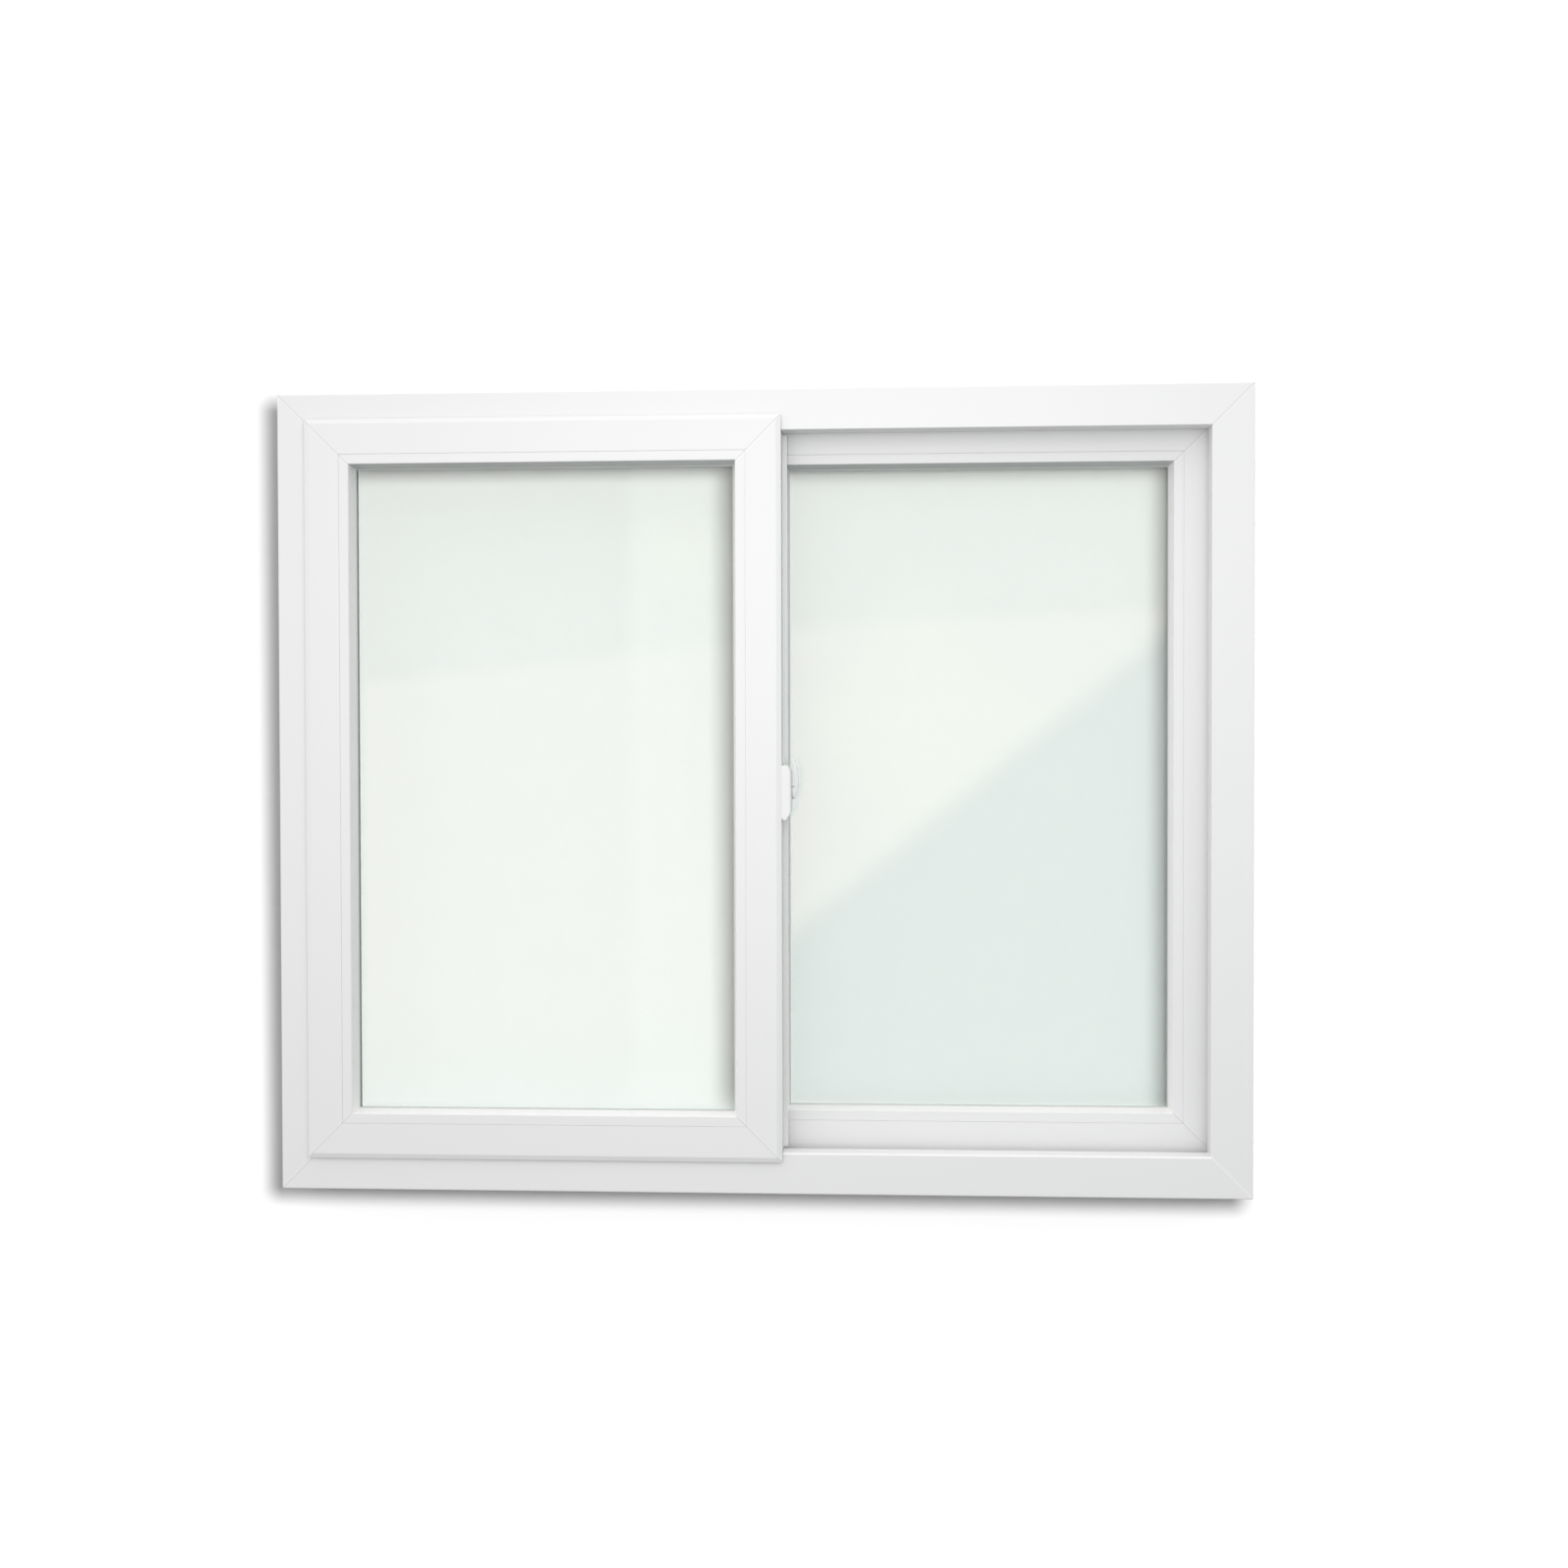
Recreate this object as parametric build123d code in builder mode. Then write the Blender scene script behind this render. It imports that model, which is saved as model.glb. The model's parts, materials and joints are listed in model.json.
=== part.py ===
"""Two-track sliding window in white uPVC, one sash in front of the other.

Millimetres, +Z up, +X to the right as seen from the room. The room is on the -Y side.
The origin is under the middle of the sill. The left sash runs on the room-side rail and
stands proud of the frame; the right sash runs on the outdoor rail behind it. Frame and
sashes are hollow extrusions, mitred and welded at their corners.
"""
import os

from build123d import *

os.makedirs("parts", exist_ok=True)

# Overall size
window_width = 1200.0
window_height = 990.0

# Frame extrusion: two hollow rail walls with a channel between them
frame_depth = 80.0
frame_face = 51.0
channel_width = 20.0
channel_floor = 22.0
frame_wall = 2.5
frame_edge_round = 1.5

# Sash extrusion: legs that straddle a rail, a hollow box and a glazing lip
rail_gap = 3.0
sash_face = 43.5
sash_corner_round = 3.0
sash_wall = 2.5
sash_web = 1.5
leg_thickness = 4.0
leg_length = 22.0
edge_bevel_width = 6.0
edge_bevel_depth = 2.5
lip_reach = 13.0
lip_thickness = 3.5
side_overlap = 16.0
bottom_overlap = 11.0
top_overlap = 19.0
meeting_overlap = 27.0

# Glazing
bead_face = 12.5
bead_slope = 3.5
bead_wall = 1.6
bead_joint = 0.8
pane_thickness = 5.0
pane_gap = 6.0
gasket_thickness = 1.5
gasket_show = 1.2
glass_edge_gap = 3.0
spacer_width = 7.0
spacer_inset = 1.5
block_length = 80.0
block_inset = 90.0

# Seals, covers and running gear
pile_width = 6.0
pile_inset = 2.0
pile_clearance = 0.3
pile_end_gap = 30.0
cover_thickness = 2.5
cover_rib_length = 8.0
cover_rib_thickness = 1.5
cover_flange_reach = 5.5
cover_flange_thickness = 2.0
cover_lock_gap = 51.0
rail_clearance = 2.0
roller_radius = 5.0
roller_width = 8.0
roller_inset = 90.0
housing_length = 44.0
housing_width = 24.0
housing_lift = 3.0
axle_radius = 1.5
axle_clearance = 0.1
wheel_clearance = 0.8
lift_block_length = 40.0
lift_block_width = 20.0
lift_block_clearance = 0.3

# Interlock between the meeting stiles
interlock_wall = 1.5
interlock_gap = 0.7
interlock_foot = 10.0
front_web_inset = 24.0
back_web_inset = 2.0
hook_end_gap = 6.0

# Frame fixings and drainage
fixing_radius = 3.5
jamb_fixing_end = 200.0
head_fixing_end = 200.0
drain_length = 28.0
drain_height = 5.0
drain_level = 12.0
drain_end = 300.0
drain_hood_margin = 5.0
drain_hood_depth = 4.0
drain_hood_edge = 1.0

# Crescent lock on the meeting stile of the front sash
lock_height = 67.4
lock_width = 27.0
lock_base_thickness = 2.2
lock_base_round = 3.0
lock_body_thickness = 12.0
lock_edge_round = 3.0
lock_shoulder_width = 4.6
lock_shoulder_height = 12.0
lock_shoulder_sag = 1.2
lock_chin_width = 6.8
lock_chin_height = 10.5
lock_front_inset = 3.0
lock_axis_depth = 25.0
cam_radius = 20.0
cam_thickness = 2.5
cam_hub_radius = 8.0
cam_clearance = 0.35
shaft_radius = 4.0
shaft_clearance = 0.1
hub_radius = 8.5
hub_thickness = 2.4

# The lever's blade, seen from the room: heights from the axis, distances from the hub's inner face
lever_width = 14.0
lever_foot = 5.6
lever_reach = 41.0
lever_foot_out = 3.6
lever_bulge_out = 7.2
lever_bulge_height = 17.6
lever_tip_out = 2.4
lever_tip_in = 0.3
lever_hollow_out = 3.2
lever_hollow_height = 21.0
lever_neck_height = 6.0

# Keeper on the meeting stile of the back sash
keeper_height = 30.0
keeper_plate = 2.0
keeper_anchor = 21.5
keeper_inset = 9.0
keeper_round = 1.5
keeper_clearance = 0.55

# Values worked out from the sizes above
half_width = window_width / 2
half_frame = frame_depth / 2
rail_thickness = (frame_depth - channel_width) / 2
rail_offset = (frame_depth + channel_width) / 4
rail_half = rail_thickness / 2
groove_half = rail_half + rail_gap
half_sash = groove_half + leg_thickness
sash_depth = 2 * half_sash
outer_glass = half_sash - lip_thickness - gasket_thickness
inner_glass = outer_glass - 2 * pane_thickness - pane_gap
bead_back = inner_glass - gasket_thickness
bead_toe = sash_face + bead_face + bead_slope
glass_inset = sash_face + glass_edge_gap
rail_top = frame_face
head_rail = window_height - frame_face
sash_bottom = frame_face - bottom_overlap
sash_top = head_rail + top_overlap
sash_outer_x = half_width - frame_face + side_overlap
groove_floor = sash_bottom + leg_length

frame_rect = (-half_width, 0.0, half_width, window_height)
front_rect = (-sash_outer_x, sash_bottom, meeting_overlap, sash_top)
back_rect = (-meeting_overlap, sash_bottom, sash_outer_x, sash_top)

INWARD = {"bottom": (0, 0, 1), "top": (0, 0, -1), "left": (1, 0, 0), "right": (-1, 0, 0)}
ALONG = {"bottom": (-1, 0, 0), "top": (1, 0, 0), "left": (0, 0, 1), "right": (0, 0, -1)}


def side_length(rect, side):
    """Outer length of one side of a rectangle (x0, z0, x1, z1)."""
    x0, z0, x1, z1 = rect
    return x1 - x0 if side in ("bottom", "top") else z1 - z0


def side_plane(rect, side, depth=0.0):
    """Plane across one side: x runs into the opening, y outdoors, z along the side."""
    x0, z0, x1, z1 = rect
    corner = {"bottom": (x1, z0), "top": (x0, z1), "left": (x0, z0), "right": (x1, z1)}
    x, z = corner[side]
    return Plane(origin=(x, depth, z), x_dir=INWARD[side], z_dir=ALONG[side])


def mitred_bar(section, rect, side, depth=0.0):
    """Extrusion of a section along one side, cut at 45 degrees at both corners."""
    plane = side_plane(rect, side, depth)
    length = side_length(rect, side)
    far_end = plane.offset(length)
    with BuildPart() as bar:
        with BuildSketch(plane):
            add(section)
        extrude(amount=length)
        split(bisect_by=Plane(plane.origin, z_dir=plane.z_dir - plane.x_dir), keep=Keep.TOP)
        split(bisect_by=Plane(far_end.origin, z_dir=-plane.z_dir - plane.x_dir), keep=Keep.TOP)
    return bar.part


def square_bar(section, rect, side, start, end, depth=0.0):
    """Extrusion of a section along one side, cut square start and end short of the corners."""
    plane = side_plane(rect, side, depth)
    with BuildPart() as bar:
        with BuildSketch(plane.offset(start)):
            add(section)
        extrude(amount=side_length(rect, side) - start - end)
    return bar.part


def ring(rect, outer_inset, inner_inset, near, far):
    """Flat rectangular ring between two insets of a rectangle and two depths."""
    x0, z0, x1, z1 = rect
    centre = ((x0 + x1) / 2, (z0 + z1) / 2)
    with BuildPart() as band:
        with BuildSketch(Plane.XZ.offset(-far)):
            with Locations(centre):
                Rectangle(x1 - x0 - 2 * outer_inset, z1 - z0 - 2 * outer_inset)
                Rectangle(x1 - x0 - 2 * inner_inset, z1 - z0 - 2 * inner_inset,
                          mode=Mode.SUBTRACT)
        extrude(amount=far - near)
    return band.part


def plate(rect, inset, near, far):
    """Flat plate over a rectangle, inset on every side, between two depths."""
    x0, z0, x1, z1 = rect
    with BuildPart() as sheet:
        with BuildSketch(Plane.XZ.offset(-far)):
            with Locations(((x0 + x1) / 2, (z0 + z1) / 2)):
                Rectangle(x1 - x0 - 2 * inset, z1 - z0 - 2 * inset)
        extrude(amount=far - near)
    return sheet.part


def block(low, high):
    """Rectangular block between two corners."""
    size = [b - a for a, b in zip(low, high)]
    middle = [(a + b) / 2 for a, b in zip(low, high)]
    with BuildPart() as brick:
        with Locations(tuple(middle)):
            Box(*size)
    return brick.part


def save(name, shape):
    """Label a finished piece and write it as one STEP file."""
    shape.label = name
    export_step(shape, f"parts/{name}.step")


def save_group(name, shapes):
    """Write several like pieces that don't touch as one node."""
    save(name, Compound(label=name, children=list(shapes)))


# Frame section: x from the outer edge inwards, y across the depth
with BuildSketch() as frame_section:
    with Locations((frame_face / 2, 0)):
        Rectangle(frame_face, frame_depth)
    channel_height = frame_face - channel_floor
    with Locations((frame_face - channel_height / 2, 0)):
        Rectangle(channel_height, channel_width, mode=Mode.SUBTRACT)
    outer_corners = frame_section.vertices().filter_by_position(Axis.X, 0, 0)
    rail_corners = frame_section.vertices().filter_by_position(Axis.X, frame_face, frame_face)
    fillet(outer_corners + rail_corners, frame_edge_round)
    rail_chamber = rail_thickness - 2 * frame_wall
    base_chamber = channel_floor - 2 * frame_wall
    with Locations((frame_wall + base_chamber / 2, -rail_offset),
                   (frame_wall + base_chamber / 2, rail_offset)):
        Rectangle(base_chamber, rail_chamber, mode=Mode.SUBTRACT)
    with Locations((frame_wall + base_chamber / 2, 0)):
        Rectangle(base_chamber, channel_width, mode=Mode.SUBTRACT)
    with Locations(((channel_floor + frame_face - frame_wall) / 2, -rail_offset),
                   ((channel_floor + frame_face - frame_wall) / 2, rail_offset)):
        Rectangle(frame_face - frame_wall - channel_floor, rail_chamber, mode=Mode.SUBTRACT)

# Sash section: x from the sash's outer edge inwards, y from the room face to the outdoor face
with BuildSketch() as sash_section:
    with BuildLine():
        Polyline(
            (0, -half_sash + edge_bevel_depth),
            (edge_bevel_width, -half_sash),
            (sash_face, -half_sash),
            (sash_face, half_sash - lip_thickness),
            (sash_face + lip_reach, half_sash - lip_thickness),
            (sash_face + lip_reach, half_sash),
            (edge_bevel_width, half_sash),
            (0, half_sash - edge_bevel_depth),
            (0, groove_half),
            (leg_length, groove_half),
            (leg_length, -groove_half),
            (0, -groove_half),
            close=True,
        )
    make_face()
    chamber_width = sash_face - leg_length - 2 * sash_wall
    chamber_depth = half_sash - sash_wall - sash_web / 2
    with Locations((leg_length + sash_wall + chamber_width / 2, -(sash_web + chamber_depth) / 2),
                   (leg_length + sash_wall + chamber_width / 2, (sash_web + chamber_depth) / 2)):
        Rectangle(chamber_width, chamber_depth, mode=Mode.SUBTRACT)

# Glazing bead section, in the same coordinates as the sash section
with BuildSketch() as bead_section:
    with BuildLine():
        Polyline(
            (sash_face, -half_sash + bead_joint),
            (sash_face + bead_joint, -half_sash),
            (sash_face + bead_face - bead_joint, -half_sash),
            (sash_face + bead_face, -half_sash + bead_joint),
            (bead_toe, bead_back),
            (sash_face, bead_back),
            close=True,
        )
    make_face()
    with BuildLine():
        Polyline(
            (sash_face + bead_wall, -half_sash + bead_wall),
            (sash_face + bead_face - bead_wall, -half_sash + bead_wall),
            (bead_toe - 2 * bead_wall, bead_back - bead_wall),
            (sash_face + bead_wall, bead_back - bead_wall),
            close=True,
        )
    make_face(mode=Mode.SUBTRACT)

# Cover that closes the groove of a meeting stile, with a flange that stands out beside the stile
with BuildSketch() as cover_section:
    with Locations((cover_thickness / 2, 0)):
        Rectangle(cover_thickness, 2 * groove_half)
    with Locations((-cover_flange_reach / 2, groove_half - cover_flange_thickness / 2)):
        Rectangle(cover_flange_reach, cover_flange_thickness)
    rib_y = groove_half - cover_rib_thickness / 2
    with Locations((cover_thickness + cover_rib_length / 2, -rib_y),
                   (cover_thickness + cover_rib_length / 2, rib_y)):
        Rectangle(cover_rib_length, cover_rib_thickness)

# Pile strips, one against each face of the rail
pile_depth = rail_gap - pile_clearance
pile_sections = []
for direction in (-1, 1):
    with BuildSketch() as pile_section:
        with Locations((pile_inset + pile_width / 2, direction * (groove_half - pile_depth / 2))):
            Rectangle(pile_width, pile_depth)
    pile_sections.append(pile_section.sketch)

# Frame members
with BuildPart() as frame_sill:
    add(mitred_bar(frame_section.sketch, frame_rect, "bottom"))
    with Locations((-drain_end, half_frame - frame_wall / 2, drain_level),
                   (drain_end, half_frame - frame_wall / 2, drain_level)):
        Box(drain_length, 2 * frame_wall, drain_height, mode=Mode.SUBTRACT)
save("frame_sill", frame_sill.part)

with BuildPart() as frame_head:
    add(mitred_bar(frame_section.sketch, frame_rect, "top"))
    with Locations((-half_width + head_fixing_end, 0, window_height - channel_floor / 2),
                   (half_width - head_fixing_end, 0, window_height - channel_floor / 2)):
        Cylinder(fixing_radius, 2 * channel_floor, mode=Mode.SUBTRACT)
save("frame_head", frame_head.part)

for side, edge in (("left", -1), ("right", 1)):
    hole_x = edge * (half_width - channel_floor / 2)
    with BuildPart() as frame_jamb:
        add(mitred_bar(frame_section.sketch, frame_rect, side))
        with Locations((hole_x, 0, jamb_fixing_end),
                       (hole_x, 0, window_height - jamb_fixing_end)):
            Cylinder(fixing_radius, 2 * channel_floor, rotation=(0, 90, 0), mode=Mode.SUBTRACT)
    save(f"frame_jamb_{side}", frame_jamb.part)

# Hoods over the drain slots on the outdoor face
with BuildPart() as drain_hoods:
    with BuildSketch(Plane.XZ.offset(-half_frame)):
        with Locations((-drain_end, drain_level), (drain_end, drain_level)):
            RectangleRounded(drain_length + 2 * drain_hood_margin, drain_height + drain_hood_margin,
                             drain_hood_margin / 2)
    extrude(amount=-drain_hood_depth)
    chamfer(drain_hoods.faces().group_by(Axis.Y)[-1].edges(), drain_hood_edge)
save("drain_hoods", drain_hoods.part)


def rollers(rect, depth):
    """Two carriages in the bottom groove, each with a wheel on the rail."""
    pieces = []
    pocket = 2 * (roller_radius + wheel_clearance)
    for wheel_x in (rect[0] + roller_inset, rect[2] - roller_inset):
        wheel_centre = (wheel_x, depth, rail_top + roller_radius)
        with BuildPart() as housing:
            with Locations((wheel_x, depth, (rail_top + housing_lift + groove_floor) / 2)):
                Box(housing_length, housing_width, groove_floor - rail_top - housing_lift)
            with Locations(wheel_centre):
                Box(pocket, roller_width + 2 * wheel_clearance, pocket, mode=Mode.SUBTRACT)
                Cylinder(axle_radius + axle_clearance, 2 * housing_width,
                         rotation=(90, 0, 0), mode=Mode.SUBTRACT)
        with BuildPart() as wheel:
            with Locations(wheel_centre):
                Cylinder(roller_radius, roller_width, rotation=(90, 0, 0))
                Cylinder(axle_radius, housing_width, rotation=(90, 0, 0))
        pieces += [housing.part, wheel.part]
    return pieces


def sash_bar(rect, side, depth):
    """One member of a sash. The outer corners of the sash are a little rounded."""
    x0, z0, x1, z1 = rect
    with BuildPart() as member:
        add(mitred_bar(sash_section.sketch, rect, side, depth))
        with BuildSketch(Plane.XZ.offset(-depth - half_sash)):
            with Locations(((x0 + x1) / 2, (z0 + z1) / 2)):
                RectangleRounded(x1 - x0, z1 - z0, sash_corner_round)
        extrude(amount=sash_depth, mode=Mode.INTERSECT)
    return member.part


def build_sash(name, rect, depth, meeting_side):
    """All pieces of one sash, its rebate, glass, seals and running gear."""
    outer_side = "left" if meeting_side == "right" else "right"
    member = {"top": "top_rail", "bottom": "bottom_rail",
              outer_side: "outer_stile", meeting_side: "meeting_stile"}
    for side, part_name in member.items():
        save(f"{name}_{part_name}", sash_bar(rect, side, depth))
        save(f"{name}_bead_{side}", mitred_bar(bead_section.sketch, rect, side, depth))

    room_pane = plate(rect, glass_inset, depth + inner_glass, depth + inner_glass + pane_thickness)
    outdoor_pane = plate(rect, glass_inset, depth + outer_glass - pane_thickness,
                         depth + outer_glass)
    save(f"{name}_pane_room", room_pane)
    save(f"{name}_pane_outdoor", outdoor_pane)
    spacer_outer = glass_inset + spacer_inset
    save(f"{name}_spacer", ring(rect, spacer_outer, spacer_outer + spacer_width,
                                depth + inner_glass + pane_thickness,
                                depth + outer_glass - pane_thickness))
    room_gasket = ring(rect, glass_inset, bead_toe + gasket_show, depth + bead_back,
                       depth + inner_glass)
    outdoor_gasket = ring(rect, glass_inset, sash_face + lip_reach + gasket_show,
                          depth + outer_glass, depth + half_sash - lip_thickness)
    save_group(f"{name}_gaskets", [room_gasket, outdoor_gasket])

    block_z = rect[1] + sash_face
    blocks = []
    for block_x in (rect[0] + block_inset, rect[2] - block_inset - block_length):
        blocks.append(block((block_x, depth + inner_glass, block_z),
                            (block_x + block_length, depth + outer_glass, block_z + glass_edge_gap)))
    save_group(f"{name}_setting_blocks", blocks)

    strips = []
    for side in ("top", "bottom", outer_side):
        for section in pile_sections:
            strips.append(square_bar(section, rect, side, pile_end_gap, pile_end_gap, depth))
    save_group(f"{name}_pile_strips", strips)

    cover_end_low = rail_top + rail_clearance - rect[1]
    cover_end_high = rect[3] - head_rail + rail_clearance
    start, end = cover_end_low, cover_end_high
    if meeting_side == "right":
        start, end = cover_end_high, cover_end_low
    flange_x = rect[2] + cover_flange_reach / 2
    if meeting_side == "left":
        flange_x = rect[0] - cover_flange_reach / 2
    with BuildPart() as stile_cover:
        add(square_bar(cover_section.sketch, rect, meeting_side, start, end, depth))
        with Locations((flange_x, depth, window_height / 2)):
            Box(cover_flange_reach, sash_depth, cover_lock_gap, mode=Mode.SUBTRACT)
    save(f"{name}_stile_cover", stile_cover.part)
    save_group(f"{name}_rollers", rollers(rect, depth))


build_sash("front_sash", front_rect, -rail_offset, "right")
build_sash("back_sash", back_rect, rail_offset, "left")

# Blocks in the top grooves that keep the sashes from being lifted off their rails
lift_blocks = []
for rect, depth in ((front_rect, -rail_offset), (back_rect, rail_offset)):
    for block_x in (rect[0] + roller_inset, rect[2] - roller_inset):
        lift_blocks.append(block(
            (block_x - lift_block_length / 2, depth - lift_block_width / 2, sash_top - leg_length),
            (block_x + lift_block_length / 2, depth + lift_block_width / 2,
             head_rail - lift_block_clearance)))
save_group("anti_lift_blocks", lift_blocks)

# Hooked strips on the facing sides of the meeting stiles
front_back_face = -rail_offset + half_sash
back_front_face = rail_offset - half_sash
front_web_x = meeting_overlap - front_web_inset
back_web_x = back_web_inset - meeting_overlap
hook_plane = Plane.XY.offset(rail_top + rail_clearance)
hook_height = head_rail - rail_top - 2 * rail_clearance
with BuildPart() as front_interlock:
    with BuildSketch(hook_plane):
        with Locations((front_web_x + (interlock_foot - interlock_wall) / 2,
                        front_back_face + interlock_wall / 2)):
            Rectangle(interlock_foot + interlock_wall, interlock_wall)
        web_end = interlock_gap + interlock_wall
        with Locations((front_web_x - interlock_wall / 2, (front_back_face + web_end) / 2)):
            Rectangle(interlock_wall, web_end - front_back_face)
        hook_end = back_web_x + hook_end_gap
        with Locations(((hook_end + front_web_x) / 2, interlock_gap + interlock_wall / 2)):
            Rectangle(front_web_x - hook_end, interlock_wall)
    extrude(amount=hook_height)
save("front_sash_interlock", front_interlock.part)

with BuildPart() as back_interlock:
    with BuildSketch(hook_plane):
        with Locations((back_web_x + hook_end_gap / 2 - interlock_wall / 2,
                        back_front_face - interlock_wall / 2)):
            Rectangle(hook_end_gap - interlock_wall, interlock_wall)
        with Locations((back_web_x + interlock_wall / 2, (back_front_face - web_end) / 2)):
            Rectangle(interlock_wall, web_end + back_front_face)
        hook_tip = front_web_x - hook_end_gap
        with Locations(((hook_tip + back_web_x) / 2, -interlock_gap - interlock_wall / 2)):
            Rectangle(hook_tip - back_web_x, interlock_wall)
    extrude(amount=hook_height)
save("back_sash_interlock", back_interlock.part)

# Crescent lock: base plate, housing, lever with its cam, and the keeper on the back sash
lock_z = window_height / 2
lock_x = meeting_overlap
lock_front = -rail_offset - half_sash + lock_front_inset
lock_back = lock_front + lock_width
lock_middle = (lock_front + lock_back) / 2
axis_y = -rail_offset - half_sash + lock_axis_depth
axis_plane = Plane(origin=(lock_x, axis_y, lock_z), x_dir=(0, 1, 0), z_dir=(1, 0, 0))
housing_x = lock_x + lock_base_thickness
face_x = lock_x + lock_body_thickness
lock_low = lock_z - lock_height / 2
lock_high = lock_z + lock_height / 2

with BuildPart() as lock_base:
    with Locations((lock_x + lock_base_thickness / 2, lock_middle, lock_z)):
        Box(lock_base_thickness, lock_width, lock_height)
    fillet(lock_base.edges().filter_by(Axis.X), lock_base_round)
save("lock_base", lock_base.part)

with BuildPart() as lock_housing:
    with BuildSketch(Plane.XZ.offset(-lock_back)):
        with BuildLine():
            Polyline(
                (face_x - lock_shoulder_width, lock_high),
                (housing_x, lock_high),
                (housing_x, lock_low),
                (face_x - lock_chin_width, lock_low),
                (face_x, lock_low + lock_chin_height),
                (face_x, lock_high - lock_shoulder_height),
            )
            SagittaArc((face_x, lock_high - lock_shoulder_height),
                       (face_x - lock_shoulder_width, lock_high), -lock_shoulder_sag)
        make_face()
    extrude(amount=lock_width)
    fillet(lock_housing.faces().sort_by(Axis.X)[-1].edges().filter_by(Axis.Z), lock_edge_round)
    slot_radius = cam_radius + 2 * cam_clearance
    with BuildSketch(axis_plane.offset(lock_base_thickness)):
        Circle(slot_radius)
    extrude(amount=cam_thickness + 2 * cam_clearance, mode=Mode.SUBTRACT)
    with BuildSketch(axis_plane.offset(lock_base_thickness)):
        Circle(shaft_radius + shaft_clearance)
    extrude(amount=lock_body_thickness, mode=Mode.SUBTRACT)
save("lock_housing", lock_housing.part)

cam_x = lock_base_thickness + cam_clearance
hub_x = lock_body_thickness + cam_clearance
with BuildPart() as lock_lever:
    with BuildSketch(axis_plane.offset(cam_x)):
        Circle(cam_radius)
        with Locations((-cam_radius, 0)):
            Rectangle(2 * cam_radius, 2 * cam_radius, mode=Mode.SUBTRACT)
        Circle(cam_hub_radius)
    extrude(amount=cam_thickness)
    with BuildSketch(axis_plane.offset(cam_x + cam_thickness)):
        Circle(shaft_radius)
    extrude(amount=hub_x - cam_x - cam_thickness)
    with BuildSketch(axis_plane.offset(hub_x)):
        Circle(hub_radius)
    extrude(amount=hub_thickness)
    blade_x = lock_x + hub_x
    outer_foot = (blade_x + lever_foot_out, lock_z - lever_foot)
    outer_bulge = (blade_x + lever_bulge_out, lock_z + lever_bulge_height)
    outer_tip = (blade_x + lever_tip_out, lock_z + lever_reach)
    inner_tip = (blade_x + lever_tip_in, lock_z + lever_reach)
    inner_hollow = (blade_x + lever_hollow_out, lock_z + lever_hollow_height)
    inner_neck = (blade_x + hub_thickness, lock_z + lever_neck_height)
    with BuildSketch(Plane.XZ.offset(-axis_y - lever_width / 2)):
        with BuildLine():
            ThreePointArc(outer_foot, outer_bulge, outer_tip)
            Line(outer_tip, inner_tip)
            ThreePointArc(inner_tip, inner_hollow, inner_neck)
            Polyline(inner_neck, (blade_x, inner_neck[1]), (blade_x, outer_foot[1]), outer_foot)
        make_face()
    extrude(amount=lever_width)
save("lock_lever", lock_lever.part)

lip_x = lock_x + cam_x + cam_thickness + keeper_clearance
with BuildPart() as lock_keeper:
    keeper_end = meeting_overlap - keeper_anchor
    with BuildSketch(Plane.XY.offset(lock_z - keeper_height / 2)):
        with BuildLine():
            Polyline(
                (keeper_end, back_front_face),
                (lip_x + keeper_plate, back_front_face),
                (lip_x + keeper_plate, back_front_face - keeper_inset - keeper_plate),
                (lip_x, back_front_face - keeper_inset - keeper_plate),
                (lip_x, back_front_face - keeper_plate),
                (keeper_end, back_front_face - keeper_plate),
                close=True,
            )
        make_face()
    extrude(amount=keeper_height)
    fillet(lock_keeper.edges().filter_by(Axis.Z).sort_by(Axis.X)[-2:].sort_by(Axis.Y)[-1:],
           keeper_round)
save("lock_keeper", lock_keeper.part)
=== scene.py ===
"""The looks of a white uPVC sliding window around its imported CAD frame, in metres."""
import json
import math

import bpy
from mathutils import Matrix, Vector


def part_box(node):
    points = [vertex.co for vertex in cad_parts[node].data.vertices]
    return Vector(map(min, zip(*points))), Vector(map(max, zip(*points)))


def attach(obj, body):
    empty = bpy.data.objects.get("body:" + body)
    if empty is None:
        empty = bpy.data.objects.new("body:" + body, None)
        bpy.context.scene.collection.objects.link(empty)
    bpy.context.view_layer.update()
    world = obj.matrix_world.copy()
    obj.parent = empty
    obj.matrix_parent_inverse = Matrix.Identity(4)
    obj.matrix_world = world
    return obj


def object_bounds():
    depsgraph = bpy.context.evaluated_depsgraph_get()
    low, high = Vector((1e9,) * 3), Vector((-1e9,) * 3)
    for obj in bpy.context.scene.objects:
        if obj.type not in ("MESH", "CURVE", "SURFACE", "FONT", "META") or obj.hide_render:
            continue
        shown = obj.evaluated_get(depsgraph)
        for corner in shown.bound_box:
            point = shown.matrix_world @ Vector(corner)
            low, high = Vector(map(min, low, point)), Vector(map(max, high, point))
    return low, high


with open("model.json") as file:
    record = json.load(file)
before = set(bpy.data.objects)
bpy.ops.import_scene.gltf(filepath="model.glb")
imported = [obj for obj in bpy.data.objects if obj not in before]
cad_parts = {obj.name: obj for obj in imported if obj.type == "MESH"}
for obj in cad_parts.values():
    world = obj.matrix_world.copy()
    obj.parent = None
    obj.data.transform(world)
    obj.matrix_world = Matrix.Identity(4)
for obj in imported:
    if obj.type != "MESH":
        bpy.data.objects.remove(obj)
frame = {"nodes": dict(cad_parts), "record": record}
cad_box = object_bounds()
nodes = frame["nodes"]

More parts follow.
